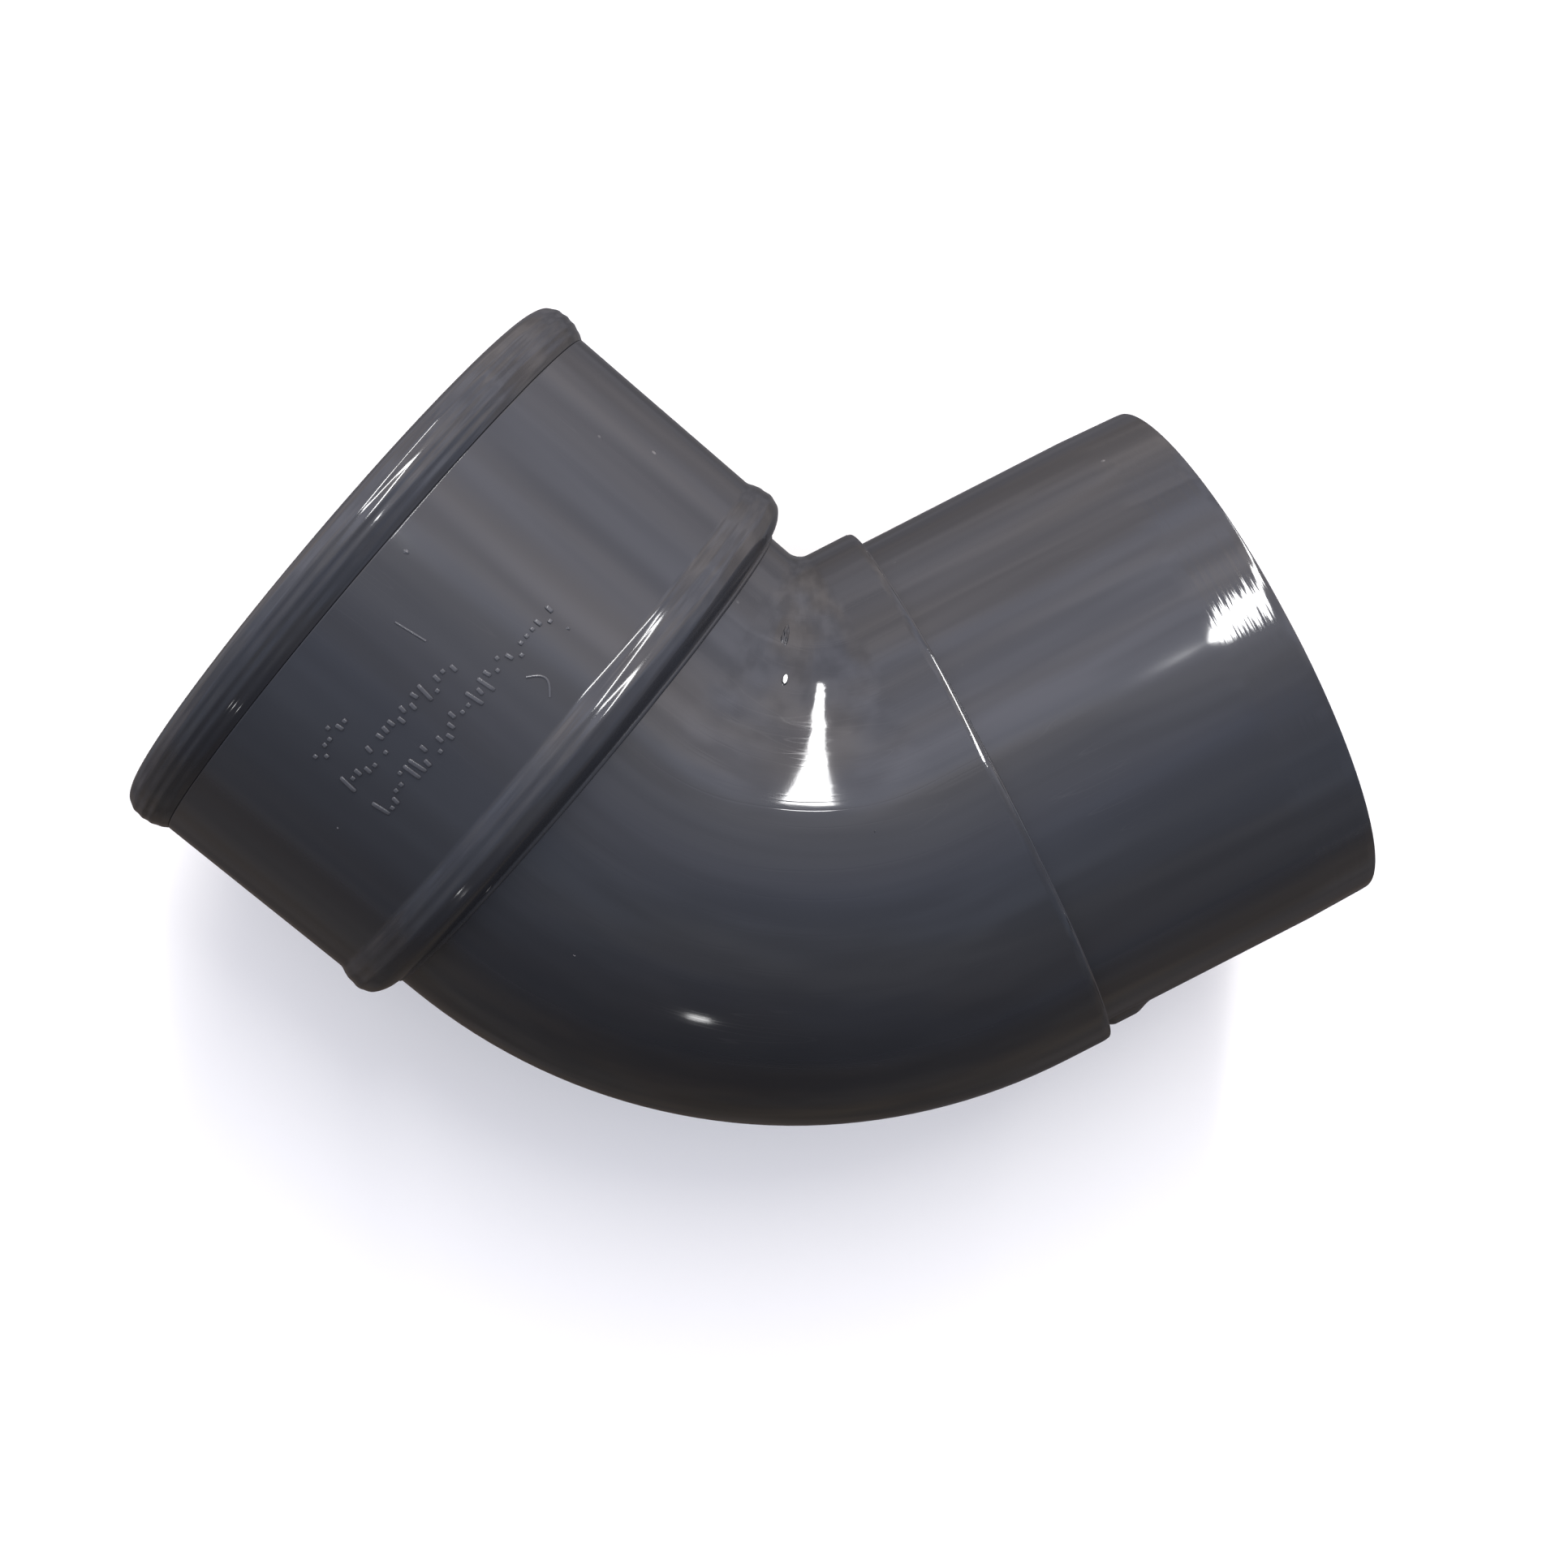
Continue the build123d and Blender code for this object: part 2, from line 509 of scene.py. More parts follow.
def turned_wall_tree() -> GeometryTree:
    """Build the tree that carries a section round the pipe's path.

    Returns:
        The tree. It starts from section_mesh's points and ends in a closed wall, which carries
        each point's place on the unbent pipe as an attribute.
    """
    bends = ("Bend Start", "Bend Radius", "Bend Angle")
    strays = ("Unevenness", "Uneven Scale", "Seed")
    flats = ("Flat Depth", "Flat Angle", "Flat Width", "Flat Start", "Flat Run")
    tree = GeometryTree("turned_wall", (*bends, *strays, *flats), ("Sides",))
    section, sides = tree.given("Geometry", "Sides")
    start, bend, most = tree.given(*bends)
    uneven, uneven_scale, seed = tree.given(*strays)
    flat_depth, flat_angle, flat_width, flat_start, flat_run = tree.given(*flats)
    count = tree.node("GeometryNodeAttributeDomainSize", None, {"Geometry": section})
    across = sides + 1
    grid = tree.node("GeometryNodeMeshGrid", None, {"Vertices X": count + 1, "Vertices Y": across})
    index = tree.node("GeometryNodeInputIndex")
    row = ((index + 0.5) / across).floor()
    angle = (index - row * across) * math.tau / sides
    position = tree.node("GeometryNodeInputPosition")
    sample = tree.node(
        "GeometryNodeSampleIndex",
        {"data_type": "FLOAT_VECTOR"},
        {"Geometry": section, "Value": position, "Index": row % count},
    )
    station, radius, _ = tree.parts(sample)
    straight = tree.vector(station, radius * angle.cosine(), radius * angle.sine())
    rough = tree.noise(straight, uneven_scale, 1.0, seed) - 0.5
    reach = (angle - flat_angle) / flat_width
    begun = ((station - flat_start) / flat_run).fade(0.0, 1.0)
    flat = flat_depth * begun * (0 - reach * reach).exponential()
    radius = radius + rough * 2 * uneven - flat
    turned = ((station - start) / bend).at_least(0).at_most(most)
    after = (station - start - bend * most).at_least(0)
    from_centre = bend - radius * angle.cosine()
    x = station.at_most(start) + from_centre * turned.sine() + after * turned.cosine()
    y = bend - from_centre * turned.cosine() + after * turned.sine()
    bent = tree.vector(x, y, radius * angle.sine())
    noted = tree.note_place(grid, straight)
    tree.end(tree.node("GeometryNodeSetPosition", None, {"Geometry": noted, "Position": bent}))
    return tree


def swept_bead_tree() -> GeometryTree:
    """Build the tree that runs a thin, slightly uneven bead along a row of edges.

    Returns:
        The tree. It starts from a mesh of edges and ends in a closed bead.
    """
    numbers = ("Bead Radius", "Unevenness", "Uneven Scale", "Seed")
    tree = GeometryTree("swept_bead", numbers, ("Bead Sides",))
    radius, uneven, uneven_scale, seed, sides, edges = tree.given(*numbers, "Bead Sides", "Geometry")
    line = tree.node("GeometryNodeMeshToCurve", None, {"Mesh": edges})
    place = tree.node("GeometryNodeInputPosition")
    rough = tree.noise(place, uneven_scale, 2.0, seed) - 0.5
    circle = {"Resolution": sides, "Radius": radius}
    inputs = {
        "Curve": tree.note_place(line, place),
        "Profile Curve": tree.node("GeometryNodeCurvePrimitiveCircle", {"mode": "RADIUS"}, circle),
        "Scale": 1 + rough * 2 * uneven,
        "Fill Caps": True,
    }
    tree.end(tree.node("GeometryNodeCurveToMesh", None, inputs))
    return tree


def mark_row_tree() -> GeometryTree:
    """Build the tree that sets a row of plain raised dashes and pips round the collar.

    Returns:
        The tree. Each mark is a rounded block, picked and shifted at random from a fixed seed.
    """
    tall_share, pip_from, middling_length, most_lean = 0.22, 0.55, 0.42, 0.3
    sizes = ("Mark Height", "Stroke", "Proud")
    places = ("Station", "Wall Radius", "First Angle", "Last Angle")
    tree = GeometryTree("mark_row", (*sizes, *places), ("Count", "Seed"))
    height, stroke, proud = tree.given(*sizes)
    station, radius, first, last = tree.given(*places)
    count, seed = tree.given("Count", "Seed")
    index = tree.node("GeometryNodeInputIndex")

    def chance(offset: int) -> Signal:
        """Return a random number between 0 and 1 for each mark."""
        inputs = {"ID": index, "Seed": seed + offset}
        return tree.node("FunctionNodeRandomValue", {"data_type": "FLOAT"}, inputs, 1)

    pick, place_pick, lean_pick = chance(0), chance(17), chance(31)
    tall, pip = pick < tall_share, pick > pip_from
    middling = 1 - tall - pip
    length = height * (tall + middling * middling_length) + stroke * pip
    slide = (height - length) * ((place_pick * 3).floor() / 2 - 0.5)
    angle = first + (last - first) * index / (count - 1)
    row = tree.node("GeometryNodeMeshLine", None, {"Count": count})
    spot = tree.vector(station + slide, radius * angle.cosine(), radius * angle.sine())
    placed = tree.node("GeometryNodeSetPosition", None, {"Geometry": row, "Position": spot})
    turn = tree.vector(angle - math.pi / 2, 0.0, (lean_pick - 0.5) * most_lean)
    block = tree.node("GeometryNodeMeshCube", None, {"Size": (1.0, 1.0, 1.0)})
    softened = {"Mesh": block, "Level": 2, "Edge Crease": 0.55}
    inputs = {
        "Points": placed,
        "Instance": tree.node("GeometryNodeSubdivisionSurface", None, softened),
        "Rotation": tree.node("FunctionNodeEulerToRotation", None, {0: turn}),
        "Scale": tree.vector(length, stroke, proud * 2),
    }
    marks = tree.node("GeometryNodeInstanceOnPoints", None, inputs)
    real = tree.node("GeometryNodeRealizeInstances", None, {"Geometry": marks})
    tree.end(tree.note_place(real, tree.node("GeometryNodeInputPosition")))
    return tree


@dataclass(frozen=True)
class FlatSpot:
    """A place where a wall is a little flatter than round, from a station on."""

    depth: float = 0.0
    angle: float = 90.0
    width: float = 8.0
    start: float = 0.0
    run: float = 8.0


@dataclass
class Workshop:
    """The three geometry trees, shared by every maker."""

    walls: GeometryTree = field(default_factory=turned_wall_tree)
    beads: GeometryTree = field(default_factory=swept_bead_tree)
    marks: GeometryTree = field(default_factory=mark_row_tree)
    wall_sides: int = 240
    wall_uneven_scale: float = 38.0
    bead_sides: int = 10
    bead_uneven_scale: float = 160.0
    bead_seed: float = 2.5

    def turn(
        self,
        name: str,
        corners: Sequence[Corner],
        finish: Material,
        unevenness: float,
        seed: float,
        flat: FlatSpot = FlatSpot(),
    ) -> Object:
        """Turn a closed wall round the pipe's path.

        Args:
            name: The piece's name.
            corners: The wall's section.
            finish: Its material.
            unevenness: How far the wall may stray from true, in millimetres.
            seed: Fixes where it strays.
            flat: Where it is a little flat.

        Returns:
            The wall as a plain mesh.
        """
        values = {
            "Sides": self.wall_sides,
            "Bend Start": PATH.bend_start * MM,
            "Bend Radius": PATH.bend_radius * MM,
            "Bend Angle": PATH.bend_angle,
            "Unevenness": unevenness * MM,
            "Uneven Scale": self.wall_uneven_scale,
            "Seed": seed,
            "Flat Depth": flat.depth * MM,
            "Flat Angle": math.radians(flat.angle),
            "Flat Width": math.radians(flat.width),
            "Flat Start": flat.start * MM,
            "Flat Run": flat.run * MM,
            "Finish": finish,
        }
        return self.walls.bake(name, section_mesh(name, corners), values)

    def run_bead(
        self,
        name: str,
        points: Sequence[Vector],
        closed: bool,
        radius: float,
        finish: Material,
        wobble: float,
    ) -> Object:
        """Run a bead through points.

        Args:
            name: The piece's name.
            points: The line's points in metres.
            closed: Whether the line ends where it starts.
            radius: The bead's radius in millimetres.
            finish: Its material.
            wobble: How much its radius varies, as a share.

        Returns:
            The bead as a plain mesh.
        """
        edges = [(k, k + 1) for k in range(len(points) - 1)]
        if closed:
            edges.append((len(points) - 1, 0))
        values = {
            "Bead Radius": radius * MM,
            "Bead Sides": self.bead_sides,
            "Unevenness": wobble,
            "Uneven Scale": self.bead_uneven_scale,
            "Seed": self.bead_seed,
            "Finish": finish,
        }
        return self.beads.bake(name, mesh_of(name, points, (), edges), values)


@dataclass(frozen=True)
class Blister:
    """A small raised spot on a wall: sizes in millimetres, its angle in degrees."""

    name: str
    station: float
    angle: float
    half_long: float
    half_wide: float
    proud: float
    fullness: float = 2.0
    unevenness: float = 0.5
    facing: Vector | None = None


def raise_blister(spec: Blister, wall: float, finish: Material) -> Object:
    """Raise a small spot on a turned wall.

    Args:
        spec: Its place and shape; a high fullness gives it a flat top, which may face a
            direction of its own, as a cut face does.
        wall: The wall's radius.
        finish: Its material.

    Returns:
        A closed lens, sunk a little into the wall.
    """
    rings, sides, sunk, wander_reach, edge_wander = 7, 28, 0.12, 2.1, 0.18
    middle = math.radians(spec.angle)
    top = PATH.at(spec.station, wall + spec.proud, middle)
    out = (top - PATH.at(spec.station, wall, middle)).normalized()

    def spot(reach: float, turn: float, height: float) -> Vector:
        """Place a point of the lens: reach from 0 to 1, turn in radians, height in millimetres."""
        along, around = spec.half_long * reach * math.cos(turn), spec.half_wide * reach * math.sin(turn)
        point = PATH.at(spec.station + along, wall + height, middle + around / wall)
        if spec.facing is not None and height > 0:
            point += out * (top - point).dot(spec.facing) / out.dot(spec.facing)
        return point

    points = [spot(0, 0, spec.proud), spot(0, 0, -sunk * 2)]
    faces: list[tuple[int, ...]] = []
    for ring in range(1, rings + 1):
        reach = ring / rings
        for side in range(sides):
            turn = math.tau * side / sides
            wander = Vector((math.cos(turn), math.sin(turn), 0.0)) * wander_reach * reach
            rough = noise.noise(wander + Vector((spec.station, 0.0, spec.angle)))
            crown = (1 - reach**spec.fullness) * (1 + spec.unevenness * rough)
            height = (spec.proud + sunk) * crown - sunk
            points.append(spot(reach * (1 + edge_wander * rough * reach), turn, height))
    for side in range(sides):
        after = (side + 1) % sides
        faces.append((0, 2 + side, 2 + after))
        for ring in range(rings - 1):
            low = 2 + ring * sides
            faces.append((low + side, low + sides + side, low + sides + after, low + after))
        last = 2 + (rings - 1) * sides
        faces.append((1, last + after, last + side))
    return dressed_mesh(spec.name, points, faces, finish)


def dressed_mesh(name: str, points: Sequence[Vector], faces: Sequence, finish: Material) -> Object:
    """Make a smooth, closed piece with its finish and its place attribute.

    Args:
        name: The piece's name.
        points: Its points, in metres.
        faces: Its faces, as indices of the points.
        finish: Its material.

    Returns:
        The piece.
    """
    mesh = mesh_of(name, points, faces)
    turn_faces_out(mesh)
    mesh.shade_smooth()
    mesh.materials.append(finish)
    place = mesh.attributes.new(TUBE_PLACE, "FLOAT_VECTOR", "POINT")
    for datum, point in zip(place.data, points):
        datum.vector = point
    return in_scene(name, mesh)


# --- Finishes ---


class Skin(NamedTuple):
    """What a finish changes over a surface; the height is in metres."""

    colour: Signal
    roughness: Signal
    height: Signal


def blank_material(name: str) -> tuple[Material, Graph]:
    """Make a material with an empty tree.

    Args:
        name: The material's name.

    Returns:
        The material and its tree.
    """
    material = bpy.data.materials.new(name)
    material.use_nodes = True
    return material, Graph(material.node_tree)


@dataclass(frozen=True)
class Finish:
    """A finish that follows each point's place on the unbent pipe."""

    ior: ClassVar[float] = 1.5
    name: str

    def skin(self, graph: Graph, place: Signal) -> Skin:
        """Work out what changes over the surface, which each finish does in its own way."""
        raise NotImplementedError

    def build(self) -> Material:
        """Make the material.

        Returns:
            The material, which ends in one Principled shader.
        """
        material, graph = blank_material(self.name)
        place = graph.node("ShaderNodeAttribute", {"attribute_name": TUBE_PLACE}, None, "Vector")
        colour, roughness, height = self.skin(graph, place)
        bump = graph.node("ShaderNodeBump", None, {"Strength": 1.0, "Distance": 1.0, "Height": height})
        inputs = {"Base Color": colour, "Roughness": roughness, "IOR": self.ior, "Normal": bump}
        shader = graph.node("ShaderNodeBsdfPrincipled", None, inputs)
        graph.node("ShaderNodeOutputMaterial", None, {"Surface": shader})
        return material


@dataclass(frozen=True)
class PlasticFinish(Finish):
    """Moulded or drawn PVC-U: dark bluish grey, glossy, with orange peel, scuffs and dust.

    Heights and the gate rings' sizes are in millimetres; a pattern's scale counts its cells in a
    metre. Two numbers of a fade are where it starts and where it is full.
    """

    ior: ClassVar[float] = 1.53
    mottle_scale: ClassVar[float] = 48.0
    cloud_scale: ClassVar[float] = 17.0
    cloud_fade: ClassVar[tuple[float, float]] = (0.5, 0.75)
    dust_colour: ClassVar[Colour] = (0.22, 0.21, 0.20)
    dust_scale: ClassVar[float] = 230.0
    dust_fade: ClassVar[tuple[float, float]] = (0.085, 0.04)
    dust_patch_scale: ClassVar[float] = 190.0
    dust_patch_fade: ClassVar[tuple[float, float]] = (0.6, 0.7)
    scratch_scale: ClassVar[float] = 330.0
    scratch_fade: ClassVar[tuple[float, float]] = (0.0045, 0.0)
    scratch_patch_scale: ClassVar[float] = 42.0
    scratch_patch_fade: ClassVar[tuple[float, float]] = (0.54, 0.66)
    scratch_spread: ClassVar[tuple[float, float, float]] = (0.045, 1.0, 1.0)
    scratch_ways: ClassVar[tuple[float, ...]] = (0.5, 1.9, 2.7)
    scratch_depth: ClassVar[float] = 0.0004
    speck_height: ClassVar[float] = 0.02
    peel_scale: ClassVar[float] = 620.0
    sink_scale: ClassVar[float] = 130.0
    sink_share: ClassVar[float] = 3.2
    fine_line_scale: ClassVar[float] = 1700.0
    broad_line_scale: ClassVar[float] = 240.0
    broad_share: ClassVar[float] = 2.6
    wrinkle_scale: ClassVar[float] = 480.0
    wrinkle_fade: ClassVar[tuple[float, float]] = (0.02, 0.0)
    ridge_scale: ClassVar[float] = 1300.0
    gate_pitch: ClassVar[float] = 2.4
    gate_height: ClassVar[float] = 0.0011
    gate_reach: ClassVar[tuple[float, float]] = (26.0, 6.0)
    tint: Colour = (0.0262, 0.0270, 0.0302)
    shade: Colour = (0.0212, 0.0218, 0.0246)
    roughness: float = 0.07
    peel: float = 0.0014
    draw_lines: float = 0.0
    flow_lines: float = 0.0
    turned_lines: float = 0.0
    turned_span: tuple[float, float] = (0.0, 0.0)
    scuffs: float = 0.5
    dust: float = 1.0
    gate: Vector | None = None
    seed: float = 0.0

    def skin(self, graph: Graph, place: Signal) -> Skin:
        """Work out the mottled colour, the gloss and the relief."""
        mottle = graph.noise(place, self.mottle_scale, 3.0, self.seed)
        bloom = graph.noise(place, self.cloud_scale, 2.0, self.seed + 5.0).fade(*self.cloud_fade)
        scuff, speck = self._scuffs(graph, place), self._dust(graph, place)
        base = graph.mix(mottle, self.shade, self.tint)
        base = graph.mix(speck * 0.5 + scuff * 0.05, base, self.dust_colour)
        rough = self.roughness + (mottle - 0.5) * 0.04 + bloom * 0.04 + scuff * 0.12 + speck * 0.3
        return Skin(base, rough, self._relief(graph, place, scuff, speck))

    def _scuffs(self, graph: Graph, place: Signal) -> Signal:
        """Mask thin hair scratches that run several ways, in patches.

        Args:
            graph: The material's tree.
            place: Each point's place on the unbent pipe.

        Returns:
            The mask.
        """
        patches = graph.noise(place, self.scratch_patch_scale, 1.0, self.seed + 9.0)
        lines = []
        for k, turn in enumerate(self.scratch_ways, 1):
            drawn = graph.stretch(place, self.scratch_spread, (turn, turn * 0.6, turn * 1.3))
            line = abs(graph.noise(drawn, self.scratch_scale, 1.0, self.seed + k) - 0.5)
            lines.append(line.fade(*self.scratch_fade))
        within = patches.fade(*self.scratch_patch_fade)
        return ((lines[0] + lines[1] + lines[2]) * within * self.scuffs).at_most(1.0)

    def _dust(self, graph: Graph, place: Signal) -> Signal:
        """Mask sparse dust specks of several sizes.

        Args:
            graph: The material's tree.
            place: Each point's place on the unbent pipe.

        Returns:
            The mask.
        """
        few = graph.noise(place, self.dust_patch_scale, 1.0, self.seed + 12.0)
        specks = graph.cells(place, self.dust_scale).fade(*self.dust_fade)
        return specks * few.fade(*self.dust_patch_fade) * self.dust

    def _relief(self, graph: Graph, place: Signal, scuff: Signal, speck: Signal) -> Signal:
        """Work out the relief.

        Args:
            graph: The material's tree.
            place: Each point's place on the unbent pipe.
            scuff: The mask of scratches.
            speck: The mask of dust.

        Returns:
            The surface's height in metres.
        """
        peel = graph.noise(place, self.peel_scale, 2.0, self.seed + 1.0) * (self.peel * MM)
        sunk = graph.noise(place, self.sink_scale, 1.0, self.seed + 3.0)
        sink = sunk * (self.peel * self.sink_share * MM)
        height = peel + sink - scuff * (self.scratch_depth * MM) + speck * (self.speck_height * MM)
        drawn = graph.stretch(place, Spread.ALONG_PIPE.value)
        if self.draw_lines:
            fine = graph.noise(drawn, self.fine_line_scale, 2.0, self.seed + 7.0)
            broad = graph.noise(drawn, self.broad_line_scale, 1.0, self.seed + 8.0)
            height = height + (fine + broad * self.broad_share) * (self.draw_lines * MM)
        if self.flow_lines:
            wrinkle = abs(graph.noise(drawn, self.wrinkle_scale, 1.0, self.seed + 24.0) - 0.5)
            height = height - wrinkle.fade(*self.wrinkle_fade) * (self.flow_lines * MM)
        if self.turned_lines:
            first, last = self.turned_span
            station = graph.parts(place)[0]
            within = station.fade(first * MM, (first + 1) * MM) * station.fade(last * MM, (last - 1) * MM)
            rounds = graph.stretch(place, Spread.ROUND_PIPE.value)
            ridges = graph.noise(rounds, self.ridge_scale, 2.0, self.seed + 14.0)
            height = height + ridges * within * (self.turned_lines * MM)
        if self.gate is not None:
            away = graph.over_vectors("DISTANCE", place, self.gate, "Value")
            far, near = self.gate_reach
            rings = (away * (math.tau / (self.gate_pitch * MM))).sine() * away.fade(far * MM, near * MM)
            height = height + rings * (self.gate_height * MM)
        return height


@dataclass(frozen=True)
class RubberFinish(Finish):
    """Matt black seal rubber with fine grinding marks round it and a pale bloom."""

    name: str = "seal_rubber_black"
    tint: Colour = (0.012, 0.012, 0.013)
    bloom: Colour = (0.045, 0.045, 0.046)
    roughness: float = 0.62
    cloud_scale: float = 90.0
    line_scale: float = 2200.0
    line_height: float = 0.010
    grain_scale: float = 2600.0
    grain_height: float = 0.006

    def skin(self, graph: Graph, place: Signal) -> Skin:
        """Work out the cloudy bloom and the lines round the seal."""
        cloud = graph.noise(place, self.cloud_scale, 3.0, 4.0)
        lines = graph.noise(graph.stretch(place, Spread.ROUND_PIPE.value), self.line_scale, 2.0, 6.0)
        grain = graph.noise(place, self.grain_scale, 2.0, 8.0)
        base = graph.mix(cloud.fade(0.45, 0.75), self.tint, self.bloom)
        height = (lines * self.line_height + grain * self.grain_height) * MM
        return Skin(base, self.roughness + (cloud - 0.5) * 0.2, height)


@dataclass(frozen=True)
class CementFinish(Finish):
    """Dried solvent cement: grey, glossy and softly rippled, with small trapped bubbles."""

    name: str = "cement_dried"
    tint: Colour = (0.030, 0.031, 0.034)
    pale: Colour = (0.052, 0.052, 0.055)
    roughness: float = 0.22
    ripple_scale: float = 420.0
    ripple_height: float = 0.007
    bubble_scale: float = 1500.0
    bubble_height: float = 0.003

    def skin(self, graph: Graph, place: Signal) -> Skin:
        """Work out the ripples and the bubbles."""
        ripple = graph.noise(place, self.ripple_scale, 2.0, 3.0)
        bubbles = graph.cells(place, self.bubble_scale).fade(0.22, 0.1)
        base = graph.mix(ripple * 0.5 + bubbles * 0.4, self.tint, self.pale)
        height = (ripple * self.ripple_height + bubbles * self.bubble_height) * MM
        return Skin(base, self.roughness + ripple * 0.12, height)


@dataclass(frozen=True)
class PaperFinish:
    """The studio's pale, matt paper, which glows a little as if lit from behind."""

    name: str = "floor_paper"
    tint: Colour = (0.86, 0.84, 0.80)
    glow: float = 0.15

    def build(self) -> Material:
        """Make the material.

        Returns:
            The material, which adds the glow to matt paper.
        """
        material, graph = blank_material(self.name)
        matt = graph.node("ShaderNodeBsdfDiffuse", None, {"Color": (*self.tint, 1.0)})
        lit = graph.node("ShaderNodeEmission", None, {"Strength": self.glow})
        shader = graph.node("ShaderNodeAddShader", None, {0: matt, 1: lit})
        graph.node("ShaderNodeOutputMaterial", None, {"Surface": shader})
        return material


# --- Sub-assemblies ---


@dataclass
class Maker:
    """A maker of one sub-assembly, whose pieces share a body; the class names a finish slot."""

    body: ClassVar[Body] = Body.FITTING
    slot: ClassVar[Slot]
    shop: Workshop

    def place(self, piece: Object, *stands_for: str) -> None:
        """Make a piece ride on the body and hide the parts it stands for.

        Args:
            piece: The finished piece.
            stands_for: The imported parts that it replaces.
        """
        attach(piece, self.body.value)
        if stands_for:
            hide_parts(*stands_for)
        log.info("%s rides on %s, %d faces", piece.name, self.body.value, len(piece.data.polygons))


@dataclass
class BendBarrel(Maker):
    """The bent barrel, with the pipe's guide in its neck and the gate's scar near its throat."""

    slot: ClassVar[Slot] = Slot.BARREL
    outer: float = 35.9
    bore: float = 32.9
    guide: float = 34.25
    neck_end: float = -12.0
    lead_in: float = 1.0
    lap_bore: float = 33.6
    lap_length: float = 8.0
    edge: float = 0.3
    end_roll: tuple[tuple[float, float], ...] = ((0.95, 0.0), (0.45, 0.055), (0.0, 0.17))
    gate_station: float = 20.6
    gate_angle: float = 41.0
    seam_radius: float = 0.11
    seam_start: float = 2.6
    seam_stop_short: float = 0.6
    seam_sunk: float = 0.06
    seam_steps: int = 60
    nib_facing: Vector = Vector((-0.2928, 0.3653, 0.8837))

    def finish(self) -> Material:
        """Make the moulded finish, with faint flow rings round the gate.

        Returns:
            The material.
        """
        turn = math.radians(self.gate_angle)
        gate = Vector((self.gate_station, self.outer * math.cos(turn), self.outer * math.sin(turn))) * MM
        return PlasticFinish(
            "pvc_moulded_barrel",
            (0.0240, 0.0248, 0.0276),
            (0.0194, 0.0200, 0.0226),
            roughness=0.055,
            flow_lines=0.0020,
            gate=gate,
            seed=1.0,
        ).build()

    def wall(self) -> list[Corner]:
        """Draw the barrel's section."""
        return [
            Corner(self.neck_end, self.outer, 0.2),
            *(Corner(STEP_STATION - back, self.outer - drop, self.edge) for back, drop in self.end_roll),
            Corner(STEP_STATION, self.lap_bore, 0.1),
            Corner(STEP_STATION - self.lap_length, self.lap_bore, 0.1),
            Corner(STEP_STATION - self.lap_length, self.bore, 0.15),
            Corner(0.0, self.bore, 0.25),
            Corner(0.0, self.guide, 0.15),
            Corner(self.neck_end + self.lead_in, self.guide, 0.2),
            Corner(self.neck_end, self.guide + self.lead_in, 0.15),
        ]

    def seam(self, name: str, angle: float, finish: Material) -> Object:
        """Run the mould's faint parting line along one side.

        Args:
            name: The piece's name.
            angle: Radians round the path.
            finish: Its material.

        Returns:
            The seam.
        """
        step = (STEP_STATION - self.seam_start - self.seam_stop_short) / self.seam_steps
        stations = [self.seam_start + k * step for k in range(self.seam_steps + 1)]
        line = [PATH.at(s, self.outer - self.seam_sunk, angle) for s in stations]
        return self.shop.run_bead(name, line, False, self.seam_radius, finish, 0.35)

    def build(self) -> None:
        """Make and place the barrel's pieces."""
        finish = self.finish()
        self.place(self.shop.turn("barrel_shell", self.wall(), finish, 0.05, 1.0), "bend_barrel")
        for name, angle in (("barrel_seam_throat", 0.0), ("barrel_seam_heel", math.pi)):
            self.place(self.seam(name, angle, finish))
        for scar in (
            Blister("gate_scar", self.gate_station, self.gate_angle, 1.8, 2.4, 0.16, 2.0, 1.1),
            Blister("gate_nib", 23.2, 51.3, 0.8, 0.75, 0.28, 8.0, 0.05, self.nib_facing),
            Blister("barrel_nib", 39.3, 80.3, 0.22, 0.18, 0.07),
            Blister("barrel_nib_low", 11.6, 115.5, 0.2, 0.16, 0.07),
        ):
            self.place(raise_blister(scar, self.outer, finish))


